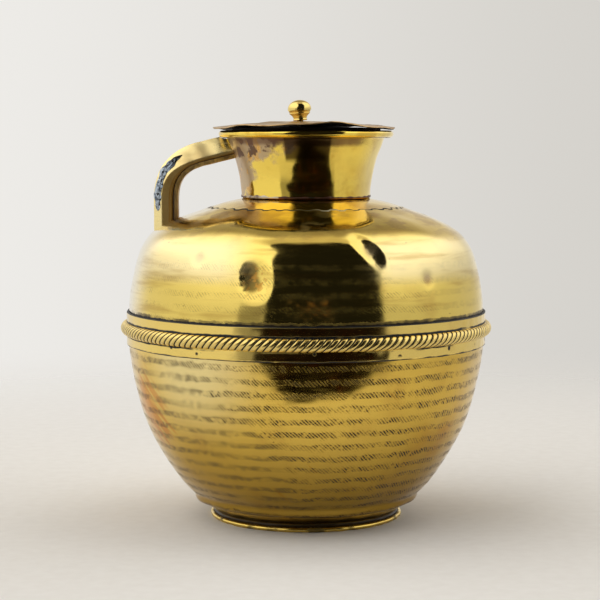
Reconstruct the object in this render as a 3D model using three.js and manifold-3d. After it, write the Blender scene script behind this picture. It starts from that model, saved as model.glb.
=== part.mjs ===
// A lidded brass water pot, built from hammered sheet the way a brazier builds one: two raised shells
// lapped under a belt, a crown plate cramped into the shoulder, a flared neck rolled over a wire, a foot
// strip on a wire ring, a hollow strap handle, and a loose wavy lid with a riveted knob.
// Millimetres, +Z up. The origin is the centre of the foot's circle on the ground. The handle is on -X.
import * as THREE from 'three';
import { mergeVertices } from 'three/addons/utils/BufferGeometryUtils.js';
import Module from 'manifold-3d';

const wasm = await Module();
wasm.setup();

// ---------------------------------------------------------------- driving dimensions
const SHEET = 1.2; // body, foot and handle sheet
const THIN_SHEET = 1.0; // neck and lid sheet
const GAP = 0.3; // between pieces that meet, where the real ones are soldered
const SEGMENTS = 48; // facets round every turned piece

const BODY_RADIUS = 147; // widest, under the belt
const BASE_HEIGHT = 7; // underside of the bowl above the ground
const BOWL_TOP = 161;
const SHOULDER_LIP_BOTTOM = 152; // the shoulder's edge laps inside the bowl from here up
const SEAM_RADIUS = 80; // cramped seam between shoulder and crown
const SEAM_HEIGHT = 257.9;
const CRAMP_DEPTH = 3; // radial depth of one tooth of that seam
const CRAMP_SLOPE = 0.3; // fall of the sheet across the seam
const COLLAR_RADIUS = 51.8; // the crown's upturned collar, inside the neck
const COLLAR_TOP = 272;

const BELT_BOTTOM = 145;
const BELT_TOP = 172.3;
const BELT_RADIUS = 149.1;
const ROPE_HEIGHT = 158.5;
const ROPE_HALF_WIDTH = 5.3;
const ROPE_RADIUS = 154;

const RIM_CENTRE = new THREE.Vector2(69.6, 317.9); // section centre of the rolled rim
const RIM_ROLL = 2.9; // outside radius of the roll
const FOOT_WIRE_CENTRE = new THREE.Vector2(78.1, 2);
const FOOT_WIRE_RADIUS = 2;

const HANDLE_SLOPE = 0.246; // fall of the handle's arm per unit of reach
const HANDLE_REACH = 116.1; // axis of the pot to the middle of the upright leg
const HANDLE_NECK_END = new THREE.Vector3(-50, 0, 310.7);
const HANDLE_BEND = 30; // tangent length of the elbow
const HANDLE_FOOT_HEIGHT = 228;
const HANDLE_STEPS = 26; // stations along the handle
const BEVEL_TOP = [4.6, 10]; // the handle's bevel in its section: across the handle, and away from the pot
const BEVEL_BOTTOM = [9.5, 3.2];
const SOLDER_START = 0.44; // where the solder repair starts and ends, as shares of the handle's length
const SOLDER_END = 0.728;

const LID_RADIUS = 75.2;
const LID_OFFSET = -1.8; // the hand-cut plate sits off the sleeve's centre
const LID_EDGE_HEIGHT = 322; // upper face at the edge, where the plate touches the rim
const LID_CROWN = 6.5; // rise from that edge to the middle
const SLEEVE_RADIUS = 61.6; // clears the neck
const SLEEVE_BOTTOM = 313.8;
const KNOB_OFFSET = -4.8;
const KNOB_TILT = THREE.MathUtils.degToRad(-4);
const SHANK_RADIUS = 2.5;
const ROVE_RADIUS = 6.5;
const ROVE_THICKNESS = 1;

// ---------------------------------------------------------------- materials
const brass = (color, roughness) => new THREE.MeshStandardMaterial({ color, roughness, metalness: 1 });
const hammeredBrass = brass(0xb8923c, 0.28);
const polishedBrass = brass(0xd2a544, 0.15);
const dullBrass = brass(0x9c7a3c, 0.4);
const greySolder = new THREE.MeshStandardMaterial({ color: 0x8d9298, roughness: 0.6, metalness: 0.7 });

// ---------------------------------------------------------------- outlines, as [radius, height]
const vectors = (pairs) => pairs.map(([r, z]) => new THREE.Vector2(r, z));
const smooth = (pairs, divisions) => new THREE.SplineCurve(vectors(pairs)).getPoints(divisions);

// The line beside an outline, a distance away on its left as it runs.
function beside(points, distance) {
  return points.map((point, i) => {
    const before = points[Math.max(i - 1, 0)];
    const after = points[Math.min(i + 1, points.length - 1)];
    const along = after.clone().sub(before).normalize();
    return new THREE.Vector2(point.x - along.y * distance, point.y + along.x * distance);
  });
}

// An arc of a circle from one angle to another, in degrees, both ends included.
function arc(centre, radius, from, to, steps) {
  return Array.from({ length: steps + 1 }, (_, i) => {
    const angle = THREE.MathUtils.degToRad(from + ((to - from) * i) / steps);
    return new THREE.Vector2(centre.x + radius * Math.cos(angle), centre.y + radius * Math.sin(angle));
  });
}

// A sheet of even thickness as a closed outline: its outer face, then its inner face back again.
const sheetOutline = (outer, thickness) => [...outer, ...beside(outer, thickness).reverse(), outer[0]];

const bowlFlank = smooth([[70, 7.3], [86, 15.4], [102, 29], [117, 49.4], [130.4, 75], [139.4, 100],
  [144.6, 125], [BODY_RADIUS, 146]], 9);
const bowlOuter = [...vectors([[40, BASE_HEIGHT + 0.6]]), ...bowlFlank,
  ...vectors([[BODY_RADIUS, BOWL_TOP]])];
const shoulderFlank = smooth([[BODY_RADIUS, 163.6], [146.7, 179], [144.4, 196], [140, 216.5], [132.4, 231.5],
  [115.5, 244.6], [SEAM_RADIUS + GAP, SEAM_HEIGHT]], 8);
const crownTop = vectors([[SEAM_RADIUS, SEAM_HEIGHT + 0.1], [66, 262], [54.6, 264.5], [52.4, 265.6],
  [COLLAR_RADIUS, 267.4], [COLLAR_RADIUS, COLLAR_TOP]]);
const neckFlank = smooth([[53.3, 266.3], [53.7, 274], [55.2, 284.5], [58.8, 298], [62.4, 307.5],
  [65.2, 314.6]], 5);

// ---------------------------------------------------------------- solids
const turn = (points, segments = SEGMENTS) => new THREE.LatheGeometry(points, segments).rotateX(Math.PI / 2);

function toManifold(geometry) {
  const bare = geometry.clone();
  bare.deleteAttribute('normal');
  bare.deleteAttribute('uv');
  const merged = mergeVertices(bare, 1e-3);
  const vertProperties = new Float32Array(merged.attributes.position.array);
  const triVerts = new Uint32Array(merged.index.array);
  return new wasm.Manifold(new wasm.Mesh({ numProp: 3, vertProperties, triVerts }));
}

function fromManifold(solid) {
  const mesh = solid.getMesh();
  const geometry = new THREE.BufferGeometry();
  geometry.setAttribute('position', new THREE.BufferAttribute(new Float32Array(mesh.vertProperties), 3));
  geometry.setIndex(new THREE.BufferAttribute(new Uint32Array(mesh.triVerts), 1));
  geometry.computeVertexNormals();
  return geometry;
}

const cut = (geometry, ...tools) =>
  fromManifold(tools.reduce((solid, tool) => solid.subtract(toManifold(tool)), toManifold(geometry)));

// Moves the vertices of a turned piece: change(vertex, radius, angle) edits each in place.
function reshape(geometry, change) {
  const position = geometry.attributes.position;
  const vertex = new THREE.Vector3();
  for (let i = 0; i < position.count; i += 1) {
    vertex.fromBufferAttribute(position, i);
    change(vertex, Math.hypot(vertex.x, vertex.y), Math.atan2(vertex.y, vertex.x));
    position.setXYZ(i, vertex.x, vertex.y, vertex.z);
  }
  return geometry;
}

// Teeth along the edge of a turned sheet, one to every two facets, so that crown and shoulder interlock.
function crampEdge(geometry) {
  return reshape(geometry, (vertex, radius, angle) => {
    if (Math.abs(radius - SEAM_RADIUS) > CRAMP_DEPTH / 2) return;
    const facet = Math.round((angle / (2 * Math.PI)) * SEGMENTS);
    const shift = (facet % 2 === 0 ? 0.5 : -0.5) * CRAMP_DEPTH;
    vertex.x *= (radius + shift) / radius;
    vertex.y *= (radius + shift) / radius;
    vertex.z -= shift * CRAMP_SLOPE;
  });
}

// ---------------------------------------------------------------- body shells
function lowerBowl() {
  const inner = beside(bowlOuter, SHEET).reverse();
  const base = new THREE.Vector2(0, BASE_HEIGHT + 2.5);
  return turn([base, ...bowlOuter, ...inner, new THREE.Vector2(0, base.y + SHEET)]);
}

function shoulderShell() {
  const lipRadius = BODY_RADIUS - SHEET - GAP; // the lip slides inside the bowl's edge
  const lip = vectors([[lipRadius, SHOULDER_LIP_BOTTOM], [lipRadius, BOWL_TOP + 0.4]]);
  return crampEdge(turn(sheetOutline([...lip, ...shoulderFlank], SHEET)));
}

const crownPlate = () => crampEdge(turn(sheetOutline(crownTop, SHEET)));

// The neck's top goes over, round and under its wire, and stops short of the flare.
function neck() {
  const roll = (radius) => arc(RIM_CENTRE, radius, 125, -140, 6);
  const wireSide = [...neckFlank, ...roll(RIM_ROLL - THIN_SHEET)];
  const weatherSide = [...beside(neckFlank, THIN_SHEET), ...roll(RIM_ROLL)];
  return turn([...wireSide, ...weatherSide.reverse(), wireSide[0]]);
}

const rimWire = () => turn(arc(RIM_CENTRE, RIM_ROLL - THIN_SHEET - GAP, 22.5, 382.5, 8));

// ---------------------------------------------------------------- belt and foot
function beltBand() {
  const inner = BODY_RADIUS + GAP;
  const bevel = 0.8;
  return turn(vectors([[inner, BELT_BOTTOM], [BELT_RADIUS - bevel, BELT_BOTTOM],
    [BELT_RADIUS, BELT_BOTTOM + bevel], [BELT_RADIUS, BELT_TOP - bevel], [BELT_RADIUS - bevel, BELT_TOP],
    [inner, BELT_TOP], [inner, BELT_BOTTOM]]));
}

// The envelope of the twisted moulding: flat behind, half round in front.
function ropeMoulding() {
  const back = BELT_RADIUS + GAP;
  const depth = ROPE_RADIUS - back;
  const outline = arc(new THREE.Vector2(0, 0), 1, -90, 90, 6).map(({ x, y }) =>
    new THREE.Vector2(back + x * depth, ROPE_HEIGHT + y * ROPE_HALF_WIDTH));
  return turn([...outline, outline[0]]);
}

const footRing = () =>
  turn(sheetOutline(vectors([[77.1, 4.3], [76.2, 5.7], [77.2, 7.3], [81.2, 9.9], [86.6, 14.1]]), SHEET));

const footWire = () => turn(arc(FOOT_WIRE_CENTRE, FOOT_WIRE_RADIUS / Math.cos(Math.PI / 8), 22.5, 382.5, 8));

// ---------------------------------------------------------------- handle
// The middle of the handle: a falling arm, a round elbow and an upright leg.
function handlePath() {
  const corner = new THREE.Vector3(-HANDLE_REACH, 0, 0);
  corner.z = HANDLE_NECK_END.z - (HANDLE_REACH + HANDLE_NECK_END.x) * HANDLE_SLOPE;
  const armDirection = corner.clone().sub(HANDLE_NECK_END).normalize();
  const elbowStart = corner.clone().addScaledVector(armDirection, -HANDLE_BEND);
  const elbowEnd = corner.clone().setZ(corner.z - HANDLE_BEND);
  const legEnd = new THREE.Vector3(-HANDLE_REACH, 0, HANDLE_FOOT_HEIGHT);
  const path = new THREE.CurvePath();
  path.add(new THREE.LineCurve3(HANDLE_NECK_END, elbowStart));
  path.add(new THREE.QuadraticBezierCurve3(elbowStart, corner, elbowEnd));
  path.add(new THREE.LineCurve3(elbowEnd, legEnd));
  return path;
}

// A section with x across the handle and y away from the pot, swept along a path in the handle's plane.
function sweep(section, path, steps) {
  const settings = { steps, extrudePath: path, bevelEnabled: false };
  return new THREE.ExtrudeGeometry(new THREE.Shape(vectors(section)), settings);
}

// A folded strip's section from the front halves of its outer face and its inner face.
function stripSection(outside, inside) {
  const mirror = (half) => half.map(([across, away]) => [-across, away]);
  return [...outside, ...mirror(outside).reverse(), ...mirror(inside), ...[...inside].reverse()];
}

// What the handle must stay clear of: everything inside the outer faces of shoulder, crown and neck.
function handleClearance() {
  const shoulder = beside(shoulderFlank, -GAP);
  const crown = beside(crownTop.slice(0, 3), -GAP);
  const neckFace = beside(neckFlank, -GAP);
  const rim = arc(RIM_CENTRE, RIM_ROLL + GAP, -120, 90, 6);
  const bottom = new THREE.Vector2(0, shoulder[0].y);
  const top = new THREE.Vector2(0, RIM_CENTRE.y + RIM_ROLL);
  return turn([bottom, ...shoulder, ...crown, ...neckFace, ...rim, top]);
}

const clearance = handleClearance();

const handleStrip = (outside, inside) =>
  cut(sweep(stripSection(outside, inside), handlePath(), HANDLE_STEPS), clearance);

// The outer strip: top face, two bevels and two sides.
const handleShell = () =>
  handleStrip([[9.5, -5.6], BEVEL_BOTTOM, BEVEL_TOP], [[8.3, -5.6], [8.3, 2.8], [4, 8.8]]);

// The inner strip that closes the handle, facing the hand.
const handleLiner = () => handleStrip([[9.2, -6.2], [7.4, -10.2]], [[7.9, -6.2], [6.5, -9]]);

// Solder run into a split along the front bevel, round the elbow and down the leg.
function handleSolderRepair() {
  const path = handlePath();
  const spans = 8;
  const run = Array.from({ length: spans + 1 }, (_, i) =>
    path.getPointAt(THREE.MathUtils.lerp(SOLDER_START, SOLDER_END, i / spans)));
  const lens = arc(new THREE.Vector2(0, 0), 1, 0, 315, 7);
  const [bevelTop, bevelBottom] = vectors([BEVEL_TOP, BEVEL_BOTTOM]);
  const bevelMiddle = bevelTop.clone().add(bevelBottom).divideScalar(2);
  const bevelAlong = bevelTop.clone().sub(bevelBottom).normalize();
  const bevelOut = new THREE.Vector2(bevelAlong.y, -bevelAlong.x);
  const halfWidth = 2.6;
  const halfDepth = 0.7;
  const section = lens.map(({ x, y }) => {
    const along = x * halfWidth;
    const out = GAP + halfDepth * (1 + y);
    const point = bevelMiddle.clone().addScaledVector(bevelAlong, along).addScaledVector(bevelOut, out);
    return [point.x, point.y];
  });
  return sweep(section, new THREE.CatmullRomCurve3(run), 12);
}

// ---------------------------------------------------------------- lid
// Bends in the lid's edge: where each is, how high it lifts the edge, and how far round it reaches.
const LID_BENDS = [
  { at: -70, lift: 5, reach: 18 },
  { at: -104, lift: 3, reach: 24 },
  { at: -135, lift: 2.6, reach: 13 },
  { at: -158, lift: 0.8, reach: 10 },
  { at: -184, lift: 2, reach: 16 },
  { at: -34, lift: 1.5, reach: 14 },
  { at: -3, lift: 1.7, reach: 15 },
  { at: 48, lift: 4.2, reach: 20 },
  { at: 112, lift: 3, reach: 17 },
];

function lidLift(angle) {
  return LID_BENDS.reduce((sum, { at, lift, reach }) => {
    const away = angle - THREE.MathUtils.degToRad(at);
    const wrapped = Math.atan2(Math.sin(away), Math.cos(away)) / THREE.MathUtils.degToRad(reach);
    return sum + lift * Math.exp(-wrapped * wrapped);
  }, 0);
}

const lidTop = (radius) => LID_EDGE_HEIGHT + LID_CROWN * (1 - (radius / LID_RADIUS) ** 2);

function lidPlate() {
  const top = [0, 20, 38, 52, 64, LID_RADIUS].map((radius) => new THREE.Vector2(radius, lidTop(radius)));
  const bottom = top.map(({ x, y }) => new THREE.Vector2(x, y - THIN_SHEET));
  const plate = reshape(turn([...bottom, ...top.reverse()]), (vertex, radius, angle) => {
    vertex.z += lidLift(angle) * (radius / LID_RADIUS) ** 4;
  });
  return cut(plate.translate(LID_OFFSET, 0, 0), knobShankHole());
}

// A short tube under the plate. The plate is off its centre, so the tube's top keeps clear of it.
function lidSleeve() {
  const top = lidTop(SLEEVE_RADIUS + 2) - THIN_SHEET - GAP;
  const inner = SLEEVE_RADIUS - THIN_SHEET;
  return turn(vectors([[inner, SLEEVE_BOTTOM], [SLEEVE_RADIUS, SLEEVE_BOTTOM], [SLEEVE_RADIUS, top],
    [inner, top], [inner, SLEEVE_BOTTOM]]));
}

const KNOB_SEGMENTS = 24;
const knobSeat = LID_EDGE_HEIGHT + LID_CROWN; // top face of the plate in the middle
const ROVE_TOP = -(THIN_SHEET + GAP + 0.2); // below the seat, clear of the falling plate

function placeOnKnobAxis(geometry) {
  return geometry.rotateY(KNOB_TILT).translate(KNOB_OFFSET, 0, knobSeat);
}

function knobShankHole() {
  const radius = SHANK_RADIUS + GAP;
  const length = 12;
  const hole = new THREE.CylinderGeometry(radius, radius, length, KNOB_SEGMENTS).rotateX(Math.PI / 2);
  return placeOnKnobAxis(hole);
}

// Peened shank, waisted foot, beaded collar and flattened ball, turned as one piece.
function lidKnob() {
  const headBottom = ROVE_TOP - ROVE_THICKNESS - 2 * GAP - 1.2;
  const head = vectors([[0, headBottom], [2.6, headBottom], [3.8, headBottom + 0.7],
    [3.6, headBottom + 1.2]]);
  const shank = vectors([[SHANK_RADIUS, headBottom + 1.2], [SHANK_RADIUS, 1]]);
  const waist = vectors([[5.4, 1], [5.8, 2.2], [6.2, 4], [8.4, 7.4], [8.6, 8.2], [8.3, 8.6]]);
  const ball = arc(new THREE.Vector2(0, 0), 1, -10, 90, 7).map(({ x, y }) =>
    new THREE.Vector2(9.95 * x, 10.3 + 8.1 * y));
  ball[ball.length - 1].x = 0;
  return placeOnKnobAxis(turn([...head, ...shank, ...waist, ...ball], KNOB_SEGMENTS));
}

function knobRove() {
  const hole = SHANK_RADIUS + GAP;
  const bottom = ROVE_TOP - ROVE_THICKNESS;
  const outline = vectors([[hole, bottom], [ROVE_RADIUS, bottom], [ROVE_RADIUS, ROVE_TOP], [hole, ROVE_TOP],
    [hole, bottom]]);
  return turn(outline, KNOB_SEGMENTS).translate(KNOB_OFFSET, 0, knobSeat);
}

// ---------------------------------------------------------------- assembly
function named(name, geometry, material) {
  const mesh = new THREE.Mesh(geometry, material);
  mesh.name = name;
  return mesh;
}

const body = new THREE.Group();
body.add(
  named('lower_bowl', lowerBowl(), hammeredBrass),
  named('shoulder_shell', shoulderShell(), hammeredBrass),
  named('crown_plate', crownPlate(), hammeredBrass),
  named('neck', neck(), hammeredBrass),
  named('rim_wire', rimWire(), polishedBrass),
  named('belt_band', beltBand(), hammeredBrass),
  named('rope_moulding', ropeMoulding(), polishedBrass),
  named('foot_ring', footRing(), hammeredBrass),
  named('foot_wire', footWire(), polishedBrass),
);

const handle = new THREE.Group();
handle.add(
  named('handle_shell', handleShell(), hammeredBrass),
  named('handle_liner', handleLiner(), dullBrass),
  named('handle_solder_repair', handleSolderRepair(), greySolder),
);

const lid = new THREE.Group();
lid.add(
  named('lid_plate', lidPlate(), dullBrass),
  named('lid_sleeve', lidSleeve(), dullBrass),
  named('lid_knob', lidKnob(), polishedBrass),
  named('knob_rove', knobRove(), dullBrass),
);

const pot = new THREE.Group();
pot.add(body, handle, lid);

export default pot;
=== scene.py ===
"""The looks of an old hammered brass water pot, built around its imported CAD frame.

Metres, +Z up, the handle on -X. A "turn" is an angle round the pot's axis: 0 faces the camera, on -Y,
and it grows towards +X. "Along" is the distance along a turned piece's outline, from its lower end.
"""
import math

import bmesh
import bpy
import numpy as np
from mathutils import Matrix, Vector


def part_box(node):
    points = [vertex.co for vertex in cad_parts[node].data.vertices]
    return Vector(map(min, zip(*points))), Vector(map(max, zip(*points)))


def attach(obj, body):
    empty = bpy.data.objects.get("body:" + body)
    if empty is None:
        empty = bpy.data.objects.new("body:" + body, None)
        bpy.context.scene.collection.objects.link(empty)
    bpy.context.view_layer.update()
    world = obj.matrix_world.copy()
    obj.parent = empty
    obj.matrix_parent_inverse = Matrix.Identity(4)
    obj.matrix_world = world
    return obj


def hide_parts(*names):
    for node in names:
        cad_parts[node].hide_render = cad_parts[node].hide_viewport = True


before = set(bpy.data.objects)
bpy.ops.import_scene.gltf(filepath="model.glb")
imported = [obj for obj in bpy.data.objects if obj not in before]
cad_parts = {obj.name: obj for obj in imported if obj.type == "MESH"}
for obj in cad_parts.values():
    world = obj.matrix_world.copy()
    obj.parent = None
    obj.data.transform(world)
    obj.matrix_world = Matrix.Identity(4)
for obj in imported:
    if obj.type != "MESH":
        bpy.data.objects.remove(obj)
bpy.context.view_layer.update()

MM = 0.001
FULL_TURN = 2 * math.pi
SHEET = 1.2 * MM
THIN_SHEET = 1.0 * MM


# ---------------------------------------------------------------- node maths
def rgb(red, green, blue):
    """A linear colour from its everyday 0 to 255 values."""
    shares = [c / 255 for c in (red, green, blue)]
    return (*[c / 12.92 if c <= 0.04 else ((c + 0.055) / 1.055) ** 2.4 for c in shares], 1.0)


def plug(tree, slot, value):
    if isinstance(value, Field):
        tree.links.new(value.socket, slot)
    else:
        slot.default_value = value


class Field:
    """A value that varies over a surface, as a node's output, so that node maths reads as arithmetic."""

    def __init__(self, tree, socket):
        self.tree = tree
        self.socket = socket

    def math(self, operation, *others):
        node = self.tree.nodes.new("ShaderNodeMath")
        node.operation = operation
        for slot, value in zip(node.inputs, (self, *others)):
            plug(self.tree, slot, value)
        return Field(self.tree, node.outputs[0])

    def __add__(self, other):
        return self.math("ADD", other)

    def __sub__(self, other):
        return self.math("SUBTRACT", other)

    def __mul__(self, other):
        return self.math("MULTIPLY", other)

    def __truediv__(self, other):
        return self.math("DIVIDE", other)

    def flipped(self):
        """One minus the field."""
        return self.math("MULTIPLY_ADD", -1.0, 1.0)

    def rise(self, low, high):
        """0 below low, 1 above high, smooth between."""
        node = self.tree.nodes.new("ShaderNodeMapRange")
        node.interpolation_type = "SMOOTHSTEP"
        plug(self.tree, node.inputs["Value"], self)
        node.inputs["From Min"].default_value = low
        node.inputs["From Max"].default_value = high
        return Field(self.tree, node.outputs["Result"])

    def fall(self, low, high):
        return self.rise(low, high).flipped()

    def near(self, centre, inner, outer):
        """1 within inner of the centre, 0 beyond outer."""
        return (self - centre).math("ABSOLUTE").fall(inner, outer)

    def parts(self):
        """The X, Y and Z of a vector field."""
        node = self.tree.nodes.new("ShaderNodeSeparateXYZ")
        self.tree.links.new(self.socket, node.inputs[0])
        return [Field(self.tree, output) for output in node.outputs]


def vector(*parts):
    """A vector field from three fields."""
    node = parts[0].tree.nodes.new("ShaderNodeCombineXYZ")
    for slot, part in zip(node.inputs, parts):
        plug(parts[0].tree, slot, part)
    return Field(parts[0].tree, node.outputs[0])


def moved(place, scale, seed):
    """A place scaled and shifted, so that each pattern falls differently. scale is a number or three."""
    node = place.tree.nodes.new("ShaderNodeMapping")
    plug(place.tree, node.inputs["Vector"], place)
    node.inputs["Scale"].default_value = scale if isinstance(scale, tuple) else (scale, scale, scale)
    node.inputs["Location"].default_value = (seed * 3.7, seed * 1.3, seed * 7.1)
    return node.outputs[0]


def noise(place, scale, seed=0, detail=2.0):
    """Soft random values about 0.5, with scale bumps to a metre."""
    node = place.tree.nodes.new("ShaderNodeTexNoise")
    node.inputs["Scale"].default_value = 1.0
    node.inputs["Detail"].default_value = detail
    place.tree.links.new(moved(place, scale, seed), node.inputs["Vector"])
    return Field(place.tree, node.outputs["Fac"])


def specks(place, scale, size, seed=0):
    """1 in round specks, 0 between. size is a share of their spacing, scale their number to a metre."""
    node = place.tree.nodes.new("ShaderNodeTexVoronoi")
    node.inputs["Scale"].default_value = 1.0
    place.tree.links.new(moved(place, scale, seed), node.inputs["Vector"])
    return Field(place.tree, node.outputs["Distance"]).fall(size * 0.6, size)


def coordinates(tree, kind="Object"):
    return Field(tree, tree.nodes.new("ShaderNodeTexCoord").outputs[kind])


def new_object(name, data):
    """An object in the scene, around its mesh, lamp or camera."""
    item = bpy.data.objects.new(name, data)
    bpy.context.scene.collection.objects.link(item)
    return item


def end_in(tree, output_type, amount, first, second):
    """Ends a node tree in two shaders: the first where amount is 0, the second where it is 1."""
    choice = tree.nodes.new("ShaderNodeMixShader")
    plug(tree, choice.inputs[0], amount)
    tree.links.new(first.outputs[0], choice.inputs[1])
    tree.links.new(second.outputs[0], choice.inputs[2])
    output = tree.nodes.new(output_type)
    tree.links.new(choice.outputs[0], output.inputs["Surface"])


MIX_COLOURS = (6, 7, 2)  # a Mix node's sockets for colours: first, second, result
MIX_NUMBERS = (2, 3, 0)


def blend(amount, first, second, sockets=MIX_COLOURS):
    """first where amount is 0, second where it is 1."""
    tree = amount.tree
    node = tree.nodes.new("ShaderNodeMix")
    node.data_type = "RGBA" if sockets is MIX_COLOURS else "FLOAT"
    a, b, result = sockets
    plug(tree, node.inputs[0], amount)
    plug(tree, node.inputs[a], first)
    plug(tree, node.inputs[b], second)
    return Field(tree, node.outputs[result])


# ---------------------------------------------------------------- camera
CAMERA_DISTANCE = 1.475
CAMERA_HEIGHT = 0.3085
CAMERA_PITCH = math.radians(4.98)
CAMERA_SIDE = -0.005  # the view's centre passes this far from the pot's axis
CAMERA_LENS = 106.4


def add_camera():
    data = bpy.data.cameras.new("camera")
    data.lens = CAMERA_LENS
    data.sensor_width = 36
    camera = new_object("camera", data)
    camera.location = (0, -CAMERA_DISTANCE, CAMERA_HEIGHT)
    target = Vector((CAMERA_SIDE, 0, CAMERA_HEIGHT - CAMERA_DISTANCE * math.tan(CAMERA_PITCH)))
    camera.rotation_euler = (target - camera.location).to_track_quat("-Z", "Y").to_euler()
    bpy.context.scene.camera = camera


# ---------------------------------------------------------------- light and floor
BACKDROP_LEFT = rgb(238, 236, 232)
BACKDROP_RIGHT = rgb(212, 209, 203)
DARK_ROOM_LEFT = -29  # the bearings between which the brass mirrors a dark room in front, in degrees
DARK_ROOM_RIGHT = 51
DARK_ROOM_SOFTNESS = 2
LAMP_SIZE = 3.0
LAMP_POWER = 13
LAMP_PLACE = Vector((-0.3, -0.2, 2.4))
FLOOR_RADIUS = 1.3  # the floor has faded into the backdrop here
FLOOR_FADE_START = 0.3
DARK_FLOOR_DEPTH = 3.0
CLOTH_EDGE = [(-0.59, -0.95), (-0.37, -0.68), (-0.16, -0.435), (-0.045, -0.33), (0.0, -0.313), (0.03, -0.33),
              (0.18, -0.35), (0.29, -0.41), (0.44, -0.52), (0.7, -0.7)]  # where the mirrored pale cloth ends


def light_the_world():
    """What the brass mirrors: windows left and right, a pale backdrop, and a dark room behind the camera."""
    world = bpy.data.worlds.new("studio")
    bpy.context.scene.world = world
    world.use_nodes = True
    tree = world.node_tree
    tree.nodes.clear()
    place = coordinates(tree, "Generated")
    x, y, z = place.parts()
    bearing = x.math("ARCTAN2", y * -1.0) * math.degrees(1)
    rising = z.math("ARCSINE") * math.degrees(1)

    left_edge = bearing + rising.rise(60, 76) * 36 - rising.rise(14, 40) * 3
    right_edge = bearing - rising.rise(10, 75) * 25
    left_side = left_edge.rise(DARK_ROOM_LEFT - DARK_ROOM_SOFTNESS, DARK_ROOM_LEFT + DARK_ROOM_SOFTNESS)
    right_side = right_edge.fall(DARK_ROOM_RIGHT - DARK_ROOM_SOFTNESS, DARK_ROOM_RIGHT + DARK_ROOM_SOFTNESS)
    dark_room = left_side * rising.fall(79, 87) * right_side
    left_share = bearing.fall(-20, 20)
    window = rising.rise(4, 34) * 0.6
    low_right = left_share.flipped() * rising.fall(2, 16) * 0.14
    doorway = bearing.near(-37, 6, 8) * rising.fall(9, 14)
    side = (left_share * 0.08 + 0.8 + window - low_right) * (doorway * -0.62 + 1)
    behind = bearing.math("ABSOLUTE").rise(138, 158)
    back = rising.fall(12, 44) * 0.42 + 0.38
    overhead = rising.rise(66, 77)
    shaded = blend(overhead, behind, 1.0, MIX_NUMBERS) * rising.rise(5, 30)
    ceiling = bearing.math("ABSOLUTE").rise(40, 100) * 0.34 + 0.4
    lit = blend(overhead, blend(behind, side, back, MIX_NUMBERS), ceiling, MIX_NUMBERS)
    lamplit = noise(place, 22, 5, detail=4).rise(0.53, 0.66) * bearing.near(3, 8, 16) * rising.near(7, 4, 9)
    glow = blend(dark_room, lit, lamplit * 0.22 + 0.012, MIX_NUMBERS)

    mirrored = tree.nodes.new("ShaderNodeBackground")
    tint = blend(shaded, (1, 0.98, 0.95, 1), (1, 0.9, 0.74, 1))
    plug(tree, mirrored.inputs["Color"], blend(lamplit * dark_room, tint, (1, 0.4, 0.1, 1)))
    plug(tree, mirrored.inputs["Strength"], glow)
    seen = tree.nodes.new("ShaderNodeBackground")
    plug(tree, seen.inputs["Color"], blend(x.rise(-0.22, 0.22), BACKDROP_LEFT, BACKDROP_RIGHT))
    from_camera = Field(tree, tree.nodes.new("ShaderNodeLightPath").outputs["Is Camera Ray"])
    end_in(tree, "ShaderNodeOutputWorld", from_camera, mirrored, seen)


def add_lamp():
    """A wide soft lamp overhead for the floor, which the brass doesn't mirror."""
    data = bpy.data.lights.new("overhead", "AREA")
    data.shape = "DISK"
    data.size = LAMP_SIZE
    data.energy = LAMP_POWER
    lamp = new_object("overhead", data)
    lamp.location = LAMP_PLACE
    lamp.rotation_euler = (-lamp.location).to_track_quat("-Z", "Y").to_euler()
    lamp.visible_glossy = False
    lamp.visible_camera = False


def add_floor():
    """A pale floor that fades into the backdrop."""
    bpy.ops.mesh.primitive_circle_add(vertices=96, radius=FLOOR_RADIUS * 1.02, fill_type="NGON")
    floor = bpy.context.object
    floor.name = "floor"
    material = bpy.data.materials.new("floor")
    material.use_nodes = True
    tree = material.node_tree
    tree.nodes.clear()
    place = coordinates(tree)
    x, y, _ = place.parts()
    distance = (x * x + y * y).math("SQRT")
    cloth = tree.nodes.new("ShaderNodeBsdfDiffuse")
    weave = noise(place, 90.0, detail=4)
    plug(tree, cloth.inputs["Color"], blend(weave, rgb(226, 223, 218), rgb(236, 234, 230)))
    clear = tree.nodes.new("ShaderNodeBsdfTransparent")
    end_in(tree, "ShaderNodeOutputMaterial", distance.rise(FLOOR_FADE_START, FLOOR_RADIUS), cloth, clear)
    floor.data.materials.append(material)


def add_dark_room_floor():
    """What the brass mirrors in front of the cloth's edge. The camera sees the pale floor there."""
    mesh = bpy.data.meshes.new("dark_room_floor")
    slopes = [math.tan(math.radians(edge)) for edge in (DARK_ROOM_LEFT, DARK_ROOM_RIGHT)]
    left, right = (DARK_FLOOR_DEPTH * slope for slope in slopes)
    corners = [*CLOTH_EDGE, (right, -DARK_FLOOR_DEPTH), (left, -DARK_FLOOR_DEPTH)]
    mesh.from_pydata([(x, y, 2 * MM) for x, y in corners], [], [tuple(range(len(corners)))])
    card = new_object("dark_room_floor", mesh)
    card.visible_camera = False
    card.visible_diffuse = False
    card.visible_shadow = False
    material = bpy.data.materials.new("dark_room_floor")
    material.use_nodes = True
    tree = material.node_tree
    shader = tree.nodes["Principled BSDF"]
    clutter = noise(coordinates(tree), 11, 7, detail=5).rise(0.55, 0.68)
    plug(tree, shader.inputs["Base Color"], blend(clutter, rgb(14, 11, 8), rgb(74, 40, 14)))
    shader.inputs["Roughness"].default_value = 1.0
    shader.inputs["Specular IOR Level"].default_value = 0.0
    mesh.materials.append(material)


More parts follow.
